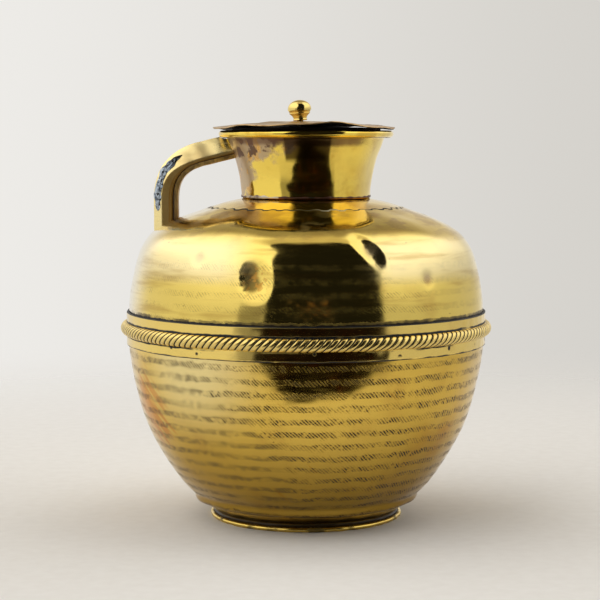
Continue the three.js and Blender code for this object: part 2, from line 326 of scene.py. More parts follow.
# ---------------------------------------------------------------- outlines from the frame
def cad_outline(node):
    """The outer face of a turned CAD node, as (radius, height) points from its lower end up."""
    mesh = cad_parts[node].data
    points = set()
    for face in mesh.polygons:
        outward = Vector((face.center.x, face.center.y, 0)).normalized()
        if face.normal.dot(outward) > 0.02:
            for index in face.vertices:
                x, y, z = mesh.vertices[index].co
                points.add((round(z, 5), round(math.hypot(x, y), 5)))
    outline = []
    for height, radius in sorted(points):
        if not outline or math.dist(outline[-1], (radius, height)) > 0.2 * MM:
            outline.append((radius, height))
    return outline


def lengths(points):
    """How far along a line each of its points is."""
    return np.concatenate([[0], np.cumsum(np.linalg.norm(np.diff(points, axis=0), axis=1))])


def evenly(points, spacing):
    """A line of points redrawn with about that spacing, both ends kept."""
    points = np.asarray(points, float)
    along = lengths(points)
    wanted = np.linspace(0, along[-1], max(2, round(along[-1] / spacing)) + 1)
    return np.stack([np.interp(wanted, along, column) for column in points.T], axis=1)


def smooth_line(points, spacing):
    """A Catmull-Rom curve through the points, evenly divided."""
    points = np.asarray(points, float)
    padded = np.vstack([2 * points[0] - points[1], points, 2 * points[-1] - points[-2]])
    share = np.linspace(0, 1, 24, endpoint=False)[:, None]
    spans = []
    for a, b, c, d in zip(padded, padded[1:], padded[2:], padded[3:]):
        linear = (c - a) * share
        square = (2 * a - 5 * b + 4 * c - d) * share ** 2
        cubic = (3 * b - a - 3 * c + d) * share ** 3
        spans.append(b + (linear + square + cubic) / 2)
    return evenly(np.vstack([*spans, points[-1:]]), spacing)


def arc(centre, radius, first, last, steps):
    """Points of a circle from one angle to another, in degrees."""
    angles = np.radians(np.linspace(first, last, steps + 1))
    return np.stack([centre[0] + radius * np.cos(angles), centre[1] + radius * np.sin(angles)], axis=1)


def side_normals(points):
    """Unit normals on the right of a line of points: outwards, where the line climbs a turned piece."""
    tangent = np.gradient(points, axis=0)
    tangent /= np.linalg.norm(tangent, axis=1)[:, None]
    return np.stack([tangent[:, 1], -tangent[:, 0]], axis=1)


# ---------------------------------------------------------------- meshes
def ring_faces(count, size, closed):
    """Quads that join rings of points, each to the next, and the last to the first where closed."""
    index = np.arange(count * size).reshape(count, size)
    here = index if closed else index[:-1]
    following = np.roll(index, -1, axis=0) if closed else index[1:]
    quads = np.stack([here, following, np.roll(following, -1, axis=1), np.roll(here, -1, axis=1)], axis=-1)
    return quads.reshape(-1, 4)


def strip_cap(ring):
    """Faces across a ring that is a thin strip's outline: up one side, an edge point, back, an edge point."""
    ring = list(ring)
    sheet = len(ring) // 2 - 1
    across = [(ring[i], ring[i + 1], ring[2 * sheet - i - 1], ring[2 * sheet - i]) for i in range(sheet - 1)]
    return across + [tuple(ring[sheet - 1:sheet + 2]), (ring[0], ring[2 * sheet], ring[2 * sheet + 1])]


def ring_mesh(name, rings, closed=True, cap=None, attributes=None):
    """A closed mesh from rings of points. Open rows of rings are capped at both ends."""
    rings = np.asarray(rings, float)
    count, size = rings.shape[:2]
    points = rings.reshape(-1, 3)
    quads = ring_faces(count, size, closed)
    a, b, c, d = (points[quads[:, i]] for i in range(4))
    volume = np.einsum("ij,ij->", a, np.cross(b, c)) + np.einsum("ij,ij->", a, np.cross(c, d))
    faces = quads.tolist()
    if not closed:
        cap = cap or (lambda ring: [tuple(ring)])
        faces += [face[::-1] for face in cap(range((count - 1) * size, count * size))]
        faces += cap(range(size))
    if volume < 0:
        faces = [face[::-1] for face in faces]
    mesh = bpy.data.meshes.new(name)
    mesh.from_pydata(points.tolist(), [], faces)
    for title, values in (attributes or {}).items():
        layer = mesh.attributes.new(title, "FLOAT", "POINT")
        layer.data.foreach_set("value", np.ascontiguousarray(values, np.float32).ravel())
    return mesh


def add_piece(name, mesh, material, body, node, sharp=45):
    """Puts a mesh in the scene as a piece that rides on a body and stands for a CAD node."""
    tidy = bmesh.new()
    tidy.from_mesh(mesh)
    bmesh.ops.remove_doubles(tidy, verts=tidy.verts, dist=1e-7)
    loose = [edge for edge in tidy.edges if not edge.link_faces]
    bmesh.ops.delete(tidy, geom=loose, context="EDGES")
    tidy.to_mesh(mesh)
    tidy.free()
    mesh.shade_smooth()
    mesh.set_sharp_from_angle(angle=math.radians(sharp))
    mesh.materials.append(material)
    piece = new_object(name, mesh)
    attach(piece, body)
    if node:
        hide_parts(node)
    return piece


def turns_of(columns):
    return np.linspace(-math.pi, math.pi, columns, endpoint=False)


def spin(outlines, turns):
    """Rings of 3-D points from outlines of (radius, height), one outline for each turn."""
    radius, height = outlines[..., 0], outlines[..., 1]
    turn = turns[:, None]
    return np.stack([radius * np.sin(turn), -radius * np.cos(turn), height], axis=-1)


def strip_outline(outer, inner, thickness):
    """Closed outlines of a sheet from its two faces, with a rounded edge at each end."""
    def edge(end, before):
        direction = outer[:, end] - outer[:, before]
        direction /= np.linalg.norm(direction, axis=-1)[:, None] + 1e-12
        return ((outer[:, end] + inner[:, end]) / 2 + direction * thickness * 0.4)[:, None]

    return np.concatenate([outer, edge(-1, -2), inner[:, ::-1], edge(0, 1)], axis=1)


def sheet_mesh(name, line, thickness, columns, relief, stretch=None, inner_step=3):
    """A turned sheet. Its outer face is the line, moved outwards by relief(turn, along), and along itself by
    stretch(turn, along)."""
    turns = turns_of(columns)
    along = lengths(line)
    angle, distance = np.meshgrid(turns, along, indexing="ij")
    base = np.broadcast_to(line, (columns, *line.shape)).copy()
    if stretch is not None:
        base += stretch(angle, distance)[..., None] * np.gradient(line, along, axis=0)
    lift = relief(angle, distance)[..., None]
    normals = side_normals(line)
    outer = base + normals * lift
    inner = base + normals * (lift - thickness)
    if line[0, 0] < 1e-6:
        outer[:, 0] = line[0]
        inner[:, 0] = line[0] - normals[0] * thickness
        outer[:, 0, 0] = inner[:, 0, 0] = 0
    kept = sorted({*range(0, len(line), inner_step), len(line) - 1})
    skin = strip_outline(outer, inner, thickness)
    outline = np.concatenate([skin[:, :len(line) + 1], inner[:, kept[::-1]], skin[:, -1:]], axis=1)
    distances = np.concatenate([along, [along[-1]], along[kept[::-1]], [0]])
    if line[0, 0] < 1e-6:
        outline[:, -1] = outline[:, 0]
    return ring_mesh(name, spin(outline, turns), attributes={"along": np.tile(distances, columns)})


def ripples(seed, wavelength, radius, count=14):
    """A random surface of one wavelength with a spread of about 1, that meets itself round the pot."""
    random = np.random.default_rng(seed)
    lean = random.uniform(0, math.pi, count)
    phase = random.uniform(0, FULL_TURN, count)
    around = np.round(FULL_TURN / wavelength * radius * np.cos(lean))
    down = FULL_TURN / wavelength * np.sin(lean)

    def field(turn, along):
        waves = sum(np.cos(a * turn + d * along + p) for a, d, p in zip(around, down, phase))
        return waves * math.sqrt(2 / count)

    return field


def rippled(radius, *layers):
    """Relief made of ripples, each given by its seed, wavelength and height, the last two in millimetres."""
    fields = [(height * MM, ripples(seed, wavelength * MM, radius)) for seed, wavelength, height in layers]

    def relief(turn, along):
        return sum(height * field(turn, along) for height, field in fields)

    return relief


def smoothstep(low, high, value):
    share = np.clip((value - low) / (high - low), 0, 1)
    return share * share * (3 - 2 * share)


def wrapped(angle):
    """An angle brought within half a turn of 0."""
    return (angle + math.pi) % FULL_TURN - math.pi


# ---------------------------------------------------------------- surfaces
class Surface:
    """One material, built up in layers of colour, roughness, metal and height."""

    def __init__(self, name, colour, roughness, metallic=1.0):
        self.material = bpy.data.materials.new(name)
        self.material.use_nodes = True
        self.tree = self.material.node_tree
        self.shader = self.tree.nodes["Principled BSDF"]
        self.place = coordinates(self.tree)
        self.x, self.y, self.z = self.place.parts()
        self.turn = self.x.math("ARCTAN2", self.y * -1.0) * math.degrees(1)
        self.colour = colour
        self.roughness = roughness
        self.metallic = metallic
        self.height = None

    def attribute(self, name):
        node = self.tree.nodes.new("ShaderNodeAttribute")
        node.attribute_name = name
        return Field(self.tree, node.outputs["Fac"])

    def cover(self, amount, colour, roughness=None, metallic=None):
        """Lays a colour over the surface by amount, with its own roughness and metal if given."""
        self.colour = blend(amount, self.colour, colour)
        if roughness is not None:
            self.roughness = blend(amount, self.roughness, roughness, MIX_NUMBERS)
        if metallic is not None:
            self.metallic = blend(amount, self.metallic, metallic, MIX_NUMBERS)

    def lift(self, height):
        """Adds fine relief, in metres."""
        self.height = self.height + height if self.height else height

    def spot(self, turn, height, inner, outer):
        """1 near a point of the surface, at a turn in degrees and a height, 0 beyond outer."""
        angle = (self.turn - turn).math("WRAP", 180.0, -180.0) * math.radians(1)
        radius = (self.x * self.x + self.y * self.y).math("SQRT")
        across = angle * radius
        up = self.z - height
        return (across * across + up * up).math("SQRT").fall(inner, outer)

    def done(self):
        plug(self.tree, self.shader.inputs["Base Color"], self.colour)
        plug(self.tree, self.shader.inputs["Roughness"], self.roughness)
        plug(self.tree, self.shader.inputs["Metallic"], self.metallic)
        if self.height:
            bump = self.tree.nodes.new("ShaderNodeBump")
            bump.inputs["Distance"].default_value = 1.0
            plug(self.tree, bump.inputs["Height"], self.height)
            self.tree.links.new(bump.outputs[0], self.shader.inputs["Normal"])
        return self.material


GRIME = rgb(52, 40, 18)
UMBER = rgb(96, 70, 30)
BLUE_BLACK = rgb(26, 30, 38)


def wear(surface, seed, dull=0.35):
    """What all this brass has: clouds of tarnish, uneven polish, pits and fine relief."""
    rubbed_roughness = surface.roughness * 1.6
    clouds = noise(surface.place, 22, seed, detail=6)
    surface.cover(clouds.rise(0.52, 0.74) * dull, rgb(168, 118, 56), rubbed_roughness)
    rubbed = noise(surface.place, (40.0, 40.0, 300.0), seed + 1, detail=4)
    surface.roughness = blend(rubbed.rise(0.45, 0.7), surface.roughness, rubbed_roughness, MIX_NUMBERS)
    pits = specks(surface.place, 120, 0.1, seed + 2) * noise(surface.place, 30, seed + 3).rise(0.55, 0.65)
    surface.cover(pits, GRIME, 0.35, 0.8)
    surface.lift(rubbed * 0.008 * MM)
    surface.lift(noise(surface.place, 350, seed + 4, detail=3) * 0.006 * MM)


def worn(name, colour, roughness, seed, dull, metallic=1.0):
    """A new surface with that wear."""
    surface = Surface(name, colour, roughness, metallic)
    wear(surface, seed, dull)
    return surface


COURSE_PITCH = 10.7 * MM
STROKES_IN_TOP_COURSE = 340.0
STROKES_LOST_PER_COURSE = 8.0
STROKE_LEAN = 3.7  # how many strokes it passes across a whole course


def hammer_courses(surface, top, first, last, strength, seed):
    """Rows of short slanting punch strokes round the piece, down from a distance along its outline."""
    place = surface.place
    down = (surface.attribute("along") - top) * -1.0
    waviness = (noise(place, 9, seed) - 0.5) * 5 * MM + (noise(place, 70, seed + 1) - 0.5) * 3.5 * MM
    row = (down + waviness) / COURSE_PITCH
    across = row.math("FRACT") - 0.5
    strokes = row.math("FLOOR") * -STROKES_LOST_PER_COURSE + STROKES_IN_TOP_COURSE
    jitter = (noise(place, 230, seed + 2) - 0.5) * 0.5
    count = surface.turn * (1 / 360) * strokes + jitter
    leaning, crossing = ((count + across * lean).math("FRACT") - 0.5 for lean in (-STROKE_LEAN, STROKE_LEAN))
    force = noise(place, 260, seed + 3, detail=1).rise(0.3, 0.6)
    mark = leaning.math("ABSOLUTE").fall(0.14, 0.34) * force
    cross_mark = crossing.math("ABSOLUTE").fall(0.06, 0.22) * force
    inside = across.math("ABSOLUTE") - (noise(place, 170, seed + 4) - 0.5) * 0.2
    course = inside.fall(0.16, 0.27)
    here = row.rise(first, first + 0.05) * row.fall(last, last + 0.4)
    cluster = noise(place, (46.0, 46.0, 90.0), seed + 5, detail=3).rise(0.34, 0.6) * 0.8 + 0.2
    hatched = noise(place, 40.0, seed + 6, detail=2).rise(0.4, 0.65)
    surface.cover(mark * inside.fall(0.25, 0.48) * hatched * here * 0.4 * strength, UMBER, 0.35)
    surface.cover(course * cluster * here * 0.15 * strength, rgb(122, 92, 36), 0.3)
    surface.cover(cross_mark * course * cluster * here * 0.35 * strength, GRIME, 0.4, 0.7)
    surface.cover(mark * course * cluster * here * strength, GRIME, 0.5, 0.4)
    surface.lift(mark * course * here * -0.05 * strength * MM)


# ---------------------------------------------------------------- the frame's measures
BOWL_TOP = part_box("lower_bowl")[1].z
BELT_BOTTOM, BELT_TOP = (corner.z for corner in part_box("belt_band"))
BELT_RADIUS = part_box("belt_band")[1].x
ROPE_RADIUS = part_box("rope_moulding")[1].x
ROPE_HEIGHT = sum(corner.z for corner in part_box("rope_moulding")) / 2
ROPE_HALF_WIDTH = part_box("rope_moulding")[1].z - ROPE_HEIGHT
CRAMP_DEPTH = 3 * MM
SEAM_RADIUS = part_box("crown_plate")[1].x - CRAMP_DEPTH / 2
RIM_HEIGHT = sum(corner.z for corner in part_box("rim_wire")) / 2
RIM_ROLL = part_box("neck")[1].z - RIM_HEIGHT
RIM_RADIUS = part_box("neck")[1].x - RIM_ROLL
FOOT_WIRE_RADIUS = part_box("foot_wire")[1].z / 2
FOOT_WIRE_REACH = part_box("foot_wire")[1].x - FOOT_WIRE_RADIUS
COLUMNS = 520

bowl_corners = cad_outline("lower_bowl")
base_height = bowl_corners[0][1]
bowl_corners = [(0, base_height + 2.2 * MM), (40 * MM, base_height + 0.3 * MM), *bowl_corners[:-1],
                (bowl_corners[-1][0], BOWL_TOP)]
bowl_line = smooth_line(bowl_corners, 1.5 * MM)
shoulder_corners = [point for point in cad_outline("shoulder_shell")
                    if point[1] > BOWL_TOP + 1 * MM and point[0] > SEAM_RADIUS + CRAMP_DEPTH]
seam_height = (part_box("crown_plate")[0].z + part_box("shoulder_shell")[1].z) / 2 + 0.5 * MM
shoulder_line = smooth_line([*shoulder_corners, (SEAM_RADIUS + 0.1 * MM, seam_height)], 1.1 * MM)
crown_corners = [point for point in cad_outline("crown_plate") if point[0] < SEAM_RADIUS - CRAMP_DEPTH]
crown_line = smooth_line([(SEAM_RADIUS - 0.1 * MM, seam_height), *crown_corners], 0.8 * MM)
neck_corners = [point for point in cad_outline("neck") if point[1] < RIM_HEIGHT - RIM_ROLL]
wire_side = RIM_ROLL - THIN_SHEET
neck_line = smooth_line([*neck_corners, *arc((RIM_RADIUS, RIM_HEIGHT), wire_side, 125, -140, 14)], 0.9 * MM)
NECK_FOOT_RADIUS, NECK_FOOT_HEIGHT = neck_corners[0]
NECK_END = lengths(neck_line)[-1]
FLARE_END = lengths(neck_line)[np.argmin(np.linalg.norm(neck_line - neck_corners[-1], axis=1))]


# ---------------------------------------------------------------- bowl and shoulder
def height_to_along(line, height):
    return float(np.interp(height, line[:, 1], lengths(line)))


def bowl_relief():
    waves = rippled(BELT_RADIUS, (1, 62, 0.2), (2, 24, 0.03), (3, 9, 0.006))
    top = height_to_along(bowl_line, BELT_BOTTOM)

    def relief(turn, along):
        row = (top - along) / COURSE_PITCH + 0.15 * np.sin(3 * turn + along / (30 * MM))
        courses = np.cos(FULL_TURN * row) * 0.01 * MM * smoothstep(0.2, 0.6, row)
        return (waves(turn, along) + courses) * smoothstep(30 * MM, 60 * MM, along)

    return relief


def tooth_shift(turn):
    """How far the cramped seam stands out at a turn: hand-cut teeth, no two alike."""
    uneven = 0.35 * np.sin(5 * turn + 1) + 0.3 * np.sin(9 * turn + 2)
    wave = np.sin(40 * turn + uneven * 2)
    return CRAMP_DEPTH / 2 * np.tanh(3 * wave) * (0.8 + 0.2 * np.sin(7 * turn))


# Dents: turn in degrees, height, half width, half height, depth, lean in degrees.
DENTS = [
    (-16.2, 209 * MM, 12.5 * MM, 18 * MM, 2.6 * MM, 12),
    (-36.7, 222.7 * MM, 8 * MM, 8 * MM, 0.9 * MM, 0),
    (41.5, 205.6 * MM, 7 * MM, 7.5 * MM, 0.8 * MM, 0),
    (20.4, 230.5 * MM, 8 * MM, 18 * MM, 1.6 * MM, 31),
    (150, 214 * MM, 14 * MM, 9 * MM, 1.2 * MM, 30),
    (-118, 200 * MM, 9 * MM, 13 * MM, 1.0 * MM, -20),
]


def dents(line, turn, along):
    total = 0
    for degrees, height, half_width, half_height, depth, lean in DENTS:
        radius = np.interp(height, line[:, 1], line[:, 0])
        right = wrapped(turn - math.radians(degrees)) * radius
        up = along - height_to_along(line, height)
        cosine, sine = math.cos(math.radians(lean)), math.sin(math.radians(lean))
        across = (right * cosine + up * sine) / half_width
        upward = (up * cosine - right * sine) / half_height
        total = total - depth * (1 - smoothstep(0, 1.3, np.hypot(across, upward)))
    return total


def shoulder_relief():
    waves = rippled(BELT_RADIUS, (11, 70, 0.2), (12, 26, 0.03), (13, 8, 0.004))
    pucker = rippled(BELT_RADIUS, (14, 5, 0.03))

    def relief(turn, along):
        dented = dents(shoulder_line, turn, along)
        puckered = pucker(turn, along) * np.clip(-dented / MM, 0, 1)
        return waves(turn, along) * smoothstep(0, 12 * MM, along) + dented + puckered

    return relief


def bowl_material():
    surface = worn("bowl_brass", (0.78, 0.53, 0.1, 1), 0.12, 3, 0.3)
    uphill = surface.z + surface.turn * 2.3 * MM
    downhill = surface.z - surface.turn * 2.3 * MM
    brushed = noise(vector(uphill, downhill, uphill), (230.0, 18.0, 0.0), 21, detail=6)
    scaled = surface.spot(-64, 96 * MM, 8 * MM, 50 * MM) + (brushed - 0.5) * 3.0
    surface.cover(scaled.rise(0.5, 0.85) * 0.85, rgb(212, 140, 30), 0.22)
    pink = surface.spot(-88, 96 * MM, 4 * MM, 40 * MM) + (noise(surface.place, 50, 22, detail=5) - 0.5) * 1.4
    surface.cover(pink.rise(0.5, 0.85) * 0.6, rgb(184, 122, 88), 0.35, 0.8)
    warm = noise(surface.place, 24, 23, detail=4).rise(0.45, 0.65)
    surface.cover(surface.spot(55, 78 * MM, 5 * MM, 50 * MM) * warm * 0.6, rgb(196, 130, 20), 0.2)
    # Painted highlight: a pale patch on the bowl's upper left.
    painted_highlight_upper_left = surface.spot(-38, 140 * MM, 12 * MM, 75 * MM)
    surface.cover(painted_highlight_upper_left * 0.75, rgb(246, 230, 170))
    # Painted shade: the bowl's right side made duller and darker.
    surface.cover(surface.turn.rise(10, 50) * 0.3, rgb(176, 140, 52))
    # Painted shade: the bowl darker towards its bottom, near the foot.
    surface.cover(surface.z.fall(30 * MM, 110 * MM) * 0.5, rgb(118, 80, 0))
    hammer_courses(surface, height_to_along(bowl_line, BELT_BOTTOM), 0.05, 15.5, 1.0, 30)
    return surface.done()


# Painted shade in the dents: turn in degrees, height, full within, gone beyond, strength, colour, roughness.
DENT_SHADES = [
    (-36.7, 222.7 * MM, 1 * MM, 7 * MM, 0.5, rgb(120, 100, 60), 0.4),
    (41.5, 205.6 * MM, 1 * MM, 7 * MM, 0.7, rgb(120, 70, 24), 0.4),
    (21.8, 229 * MM, 2 * MM, 8 * MM, 0.75, rgb(104, 72, 28), 0.35),
    (-17.8, 214 * MM, 4 * MM, 9 * MM, 0.8, rgb(78, 58, 20), 0.35),
    (-16.8, 204 * MM, 4 * MM, 9 * MM, 0.8, rgb(78, 58, 20), 0.35),
]


def shoulder_material():
    surface = worn("shoulder_brass", (0.82, 0.62, 0.15, 1), 0.09, 40, 0.3)
    hammer_courses(surface, height_to_along(shoulder_line, BELT_TOP) + 4.6 * COURSE_PITCH, 0, 5, 0.2, 50)
    # Paints the shade in the dents.
    for turn, height, inner, outer, strength, colour, roughness in DENT_SHADES:
        surface.cover(surface.spot(turn, height, inner, outer) * strength, colour, roughness)
    flecks = noise(surface.place, 240, 64, detail=4).rise(0.5, 0.62)
    surface.cover(surface.spot(-16, 206 * MM, 4 * MM, 16 * MM) * flecks * 0.8, rgb(190, 140, 60), 0.4)
    end = lengths(shoulder_line)[-1]
    along = surface.attribute("along")
    # Painted highlight: a pale band on the shoulder's left and right sides.
    highlight_sides = surface.turn.math("ABSOLUTE").rise(14, 30)
    surface.cover(surface.z.near(221 * MM, 8 * MM, 22 * MM) * highlight_sides * 0.5, rgb(250, 238, 200))
    # Painted highlight: the shoulder's far left edge near white.
    surface.cover(surface.turn.fall(-78, -56) * 0.8, rgb(255, 248, 225))
    streaks = noise(surface.place, (11.0, 11.0, 110.0), 60, detail=6)
    surface.cover(streaks.rise(0.5, 0.68) * 0.45, rgb(160, 122, 52), 0.25)
    blotches = noise(surface.place, (30.0, 30.0, 90.0), 61, detail=6)
    upper = along.rise(end - 62 * MM, end - 34 * MM)
    surface.cover(upper * blotches.rise(0.5, 0.64) * 0.45, rgb(160, 118, 62), 0.35)
    surface.cover(upper * blotches.fall(0.36, 0.42) * 0.35, rgb(128, 88, 76), 0.4, 0.8)
    low_edge = along + (noise(surface.place, 190, 62, detail=3) - 0.5) * 3.2 * MM
    grimy = noise(surface.place, 30, 63, detail=3).rise(0.4, 0.55)
    surface.cover(low_edge.fall(9.4 * MM, 10.2 * MM), BLUE_BLACK, 0.5, 0.3)
    surface.cover(low_edge.fall(11 * MM, 12 * MM) * grimy * 0.8, GRIME, 0.5, 0.4)
    seam_line(surface, along.rise(end - 1.5 * MM, end - 0.7 * MM))
    return surface.done()


def seam_line(surface, amount):
    """The filled gap of the cramped seam: black in places, whitish solder in others."""
    change = noise(surface.place, 16, 71, detail=3)
    surface.cover(amount * change.rise(0.38, 0.46), rgb(24, 19, 14), 0.6, 0.1)
    surface.cover(amount * change.fall(0.38, 0.46), rgb(196, 190, 166), 0.5, 0.6)


def crown_material():
    surface = worn("crown_brass", (0.86, 0.64, 0.17, 1), 0.12, 75, 0.5)
    blotches = noise(surface.place, 30, 78, detail=5)
    surface.cover(blotches.rise(0.5, 0.62) * 0.35, rgb(150, 104, 62), 0.3)
    along = surface.attribute("along")
    seam_line(surface, along.fall(0.3 * MM, 0.9 * MM))
    return surface.done()


def neck_material():
    surface = worn("neck_brass", (0.93, 0.68, 0.12, 1), 0.1, 80, 0.35)
    place = surface.place
    along = surface.attribute("along")
    flank = surface.z.fall(RIM_HEIGHT - 3.6 * MM, RIM_HEIGHT - 3.1 * MM)
    mottled = noise(place, 48, 83, detail=4)
    surface.cover(mottled.rise(0.5, 0.66) * 0.45, rgb(190, 142, 40), 0.2)
    # Painted highlight: the neck's right side paler.
    surface.cover(surface.turn.rise(40, 70) * 0.4, rgb(250, 232, 170))
    patches = noise(place, 30, 85, detail=5) - 0.5
    ragged = noise(place, 90, 82, detail=6) - 0.5
    edge = surface.turn + (surface.z - RIM_HEIGHT) * -1200 + patches * 60 + ragged * 60
    tarnished = edge.fall(-12, 2) * flank
    surface.cover(tarnished * 0.8, rgb(186, 164, 144), 0.42, 0.8)
    glints = noise(place, 80, 87, detail=6)
    surface.cover(tarnished * glints.rise(0.54, 0.62) * 0.8, rgb(226, 174, 84), 0.25, 1.0)
    stains = noise(place, 110, 84, detail=7) + (surface.z - RIM_HEIGHT + 18 * MM) * 7.0
    surface.cover(tarnished * stains.rise(0.52, 0.6) * 0.85, rgb(96, 66, 56), 0.5, 0.6)
    below_rim = surface.z - RIM_HEIGHT
    # Painted dark reflection: a brownish band round the front of the flare under the rim.
    flare_reflection_band = (below_rim + patches * 9 * MM).rise(-11 * MM, -7 * MM) * surface.turn.near(-10, 50, 66)
    surface.cover(flare_reflection_band * flank * 0.75, rgb(112, 78, 56), 0.4, 0.8)
    shade = (below_rim + patches * 5 * MM).rise(-24 * MM, -19 * MM)
    surface.cover(shade * flank * surface.turn.near(1, 16, 18.5) * 0.9, rgb(62, 42, 14), 0.2)
    under_roll = along.near(FLARE_END - 1.0 * MM, 1.5 * MM, 2.4 * MM)
    rolled_end = along.rise(NECK_END - 2.4 * MM, NECK_END - 1.2 * MM)
    patchy = noise(place, 40, 86, detail=3).rise(0.3, 0.42)
    surface.cover((under_roll + rolled_end) * patchy, BLUE_BLACK, 0.5, 0.3)
    return surface.done()


def neck_solder_mesh():
    """The bead of solder run round the neck's foot: uneven, with smears up the neck."""
    turns = turns_of(480)
    lumps, smears = ripples(35, 9 * MM, NECK_FOOT_RADIUS), ripples(36, 30 * MM, NECK_FOOT_RADIUS)
    angles = np.linspace(0, FULL_TURN, 16, endpoint=False)
    swell = 1 + 0.22 * lumps(turns, 0) + 0.3 * np.clip(smears(turns, 0), 0, 2)
    across = 0.3 * MM * swell[:, None] * np.cos(angles)
    up = 0.6 * MM * (swell[:, None] ** 1.5) * (np.sin(angles) + 0.5)
    outline = np.stack([NECK_FOOT_RADIUS + across, NECK_FOOT_HEIGHT + up], axis=-1)
    return ring_mesh("neck_solder", spin(outline, turns))


def neck_solder_material():
    surface = Surface("neck_solder_grey", rgb(98, 68, 60), 0.45, 0.7)
    pale = noise(surface.place, 34, 88, detail=4)
    surface.cover(pale.rise(0.52, 0.6), rgb(206, 196, 176), 0.4)
    surface.cover(noise(surface.place, 150, 89, detail=3).rise(0.56, 0.64), rgb(30, 24, 22), 0.6, 0.2)
    return surface.done()


def add_bowl():
    mesh = sheet_mesh("bowl", bowl_line, SHEET, COLUMNS, bowl_relief())
    add_piece("bowl", mesh, bowl_material(), "pot", "lower_bowl")


def add_shoulder():
    end = lengths(shoulder_line)[-1]

    def cramped(turn, along):
        return -tooth_shift(turn) * smoothstep(end - 9 * MM, end, along)

    mesh = sheet_mesh("shoulder", shoulder_line, SHEET, COLUMNS, shoulder_relief(), cramped)
    add_piece("shoulder", mesh, shoulder_material(), "pot", "shoulder_shell")


def add_crown():
    def cramped(turn, along):
        return -tooth_shift(turn) * (1 - smoothstep(0, 9 * MM, along))

    mesh = sheet_mesh("crown", crown_line, SHEET, COLUMNS, rippled(SEAM_RADIUS, (21, 40, 0.07)), cramped)
    add_piece("crown", mesh, crown_material(), "pot", "crown_plate")


def add_neck():
    waves = rippled(RIM_RADIUS, (31, 34, 0.14), (32, 11, 0.008), (33, 17, 0.03))

    def relief(turn, along):
        from_rim = 1 - smoothstep(FLARE_END - 10 * MM, FLARE_END, along)
        return waves(turn, along) * smoothstep(0, 10 * MM, along) * from_rim

    mesh = sheet_mesh("neck", neck_line, THIN_SHEET, 400, relief, inner_step=1)
    add_piece("neck", mesh, neck_material(), "pot", "neck")
    add_piece("neck_solder", neck_solder_mesh(), neck_solder_material(), "pot", None, 60)


# ---------------------------------------------------------------- belt, rope, foot and wires
def tube_mesh(name, radius, height, section, columns, wander=0.0, seed=0):
    """A ring of wire round the pot. section(turn) gives its half width and half height at each turn."""
    turns = turns_of(columns)
    random = np.random.default_rng(seed)
    drift = sum(wander / k * np.sin(k * turns + random.uniform(0, FULL_TURN)) for k in range(2, 9))
    across, up = section(turns)
    angles = np.linspace(0, FULL_TURN, 18, endpoint=False)
    outline = np.stack([radius + drift[:, None] + across[:, None] * np.cos(angles),
                        height + up[:, None] * np.sin(angles)], axis=-1)
    return ring_mesh(name, spin(outline, turns))


def belt_mesh():
    turns = turns_of(720)
    inner = BELT_RADIUS - 1.8 * MM
    bevel = 0.7 * MM
    corners = [(inner, BELT_BOTTOM), (BELT_RADIUS - bevel, BELT_BOTTOM),
               (BELT_RADIUS - bevel / 3, BELT_BOTTOM + bevel / 3), (BELT_RADIUS, BELT_BOTTOM + bevel)]
    flat = [(BELT_RADIUS, height) for height in np.linspace(BELT_BOTTOM + 1.6 * MM, BELT_TOP - 1.6 * MM, 14)]
    top = [(radius, BELT_BOTTOM + BELT_TOP - height) for radius, height in corners[::-1]]
    outline = np.array([*corners, *flat, *top])
    edge_wave = ripples(41, 26 * MM, BELT_RADIUS)
    dent_wave = ripples(42, 12 * MM, BELT_RADIUS)
    shape = np.broadcast_to(outline, (len(turns), *outline.shape)).copy()
    upper = smoothstep(BELT_BOTTOM, BELT_TOP, outline[:, 1]) * 2 - 1
    shape[..., 1] += 0.12 * MM * upper * edge_wave(turns, 0)[:, None]
    outer = outline[:, 0] > inner + 0.1 * MM
    angle, height = np.meshgrid(turns, outline[:, 1], indexing="ij")
    shape[..., 0] += outer * (0.04 * MM * dent_wave(angle, height) - 0.05 * MM)
    return ring_mesh("belt", spin(shape, turns))


STRANDS = 168
STRAND_COLUMNS = 12
STRAND_LEAN = 0.85  # half of how many strands each passes from the moulding's bottom to its top


def rope_mesh():
    """A half-round moulding cut into slanting strands."""
    turns = turns_of(STRANDS * STRAND_COLUMNS)
    angles = np.radians(np.linspace(-90, 90, 19))
    back = BELT_RADIUS - 0.2 * MM
    depth = ROPE_RADIUS - back
    phase = STRANDS * turns[:, None] / FULL_TURN - STRAND_LEAN * np.sin(angles)
    strand = 2 * (phase % 1) - 1
    groove = 1 - np.sqrt(np.clip(1 - strand ** 4, 0, 1))
    random = np.random.default_rng(51)
    uneven = np.repeat(random.uniform(0.6, 1.0, STRANDS), STRAND_COLUMNS)[:, None]
    size = 1 - 0.4 * groove * uneven
    outline = np.stack([back + depth * size * np.cos(angles),
                        ROPE_HEIGHT + ROPE_HALF_WIDTH * size * np.sin(angles)], axis=-1)
    return ring_mesh("rope", spin(outline, turns), attributes={"groove": groove})


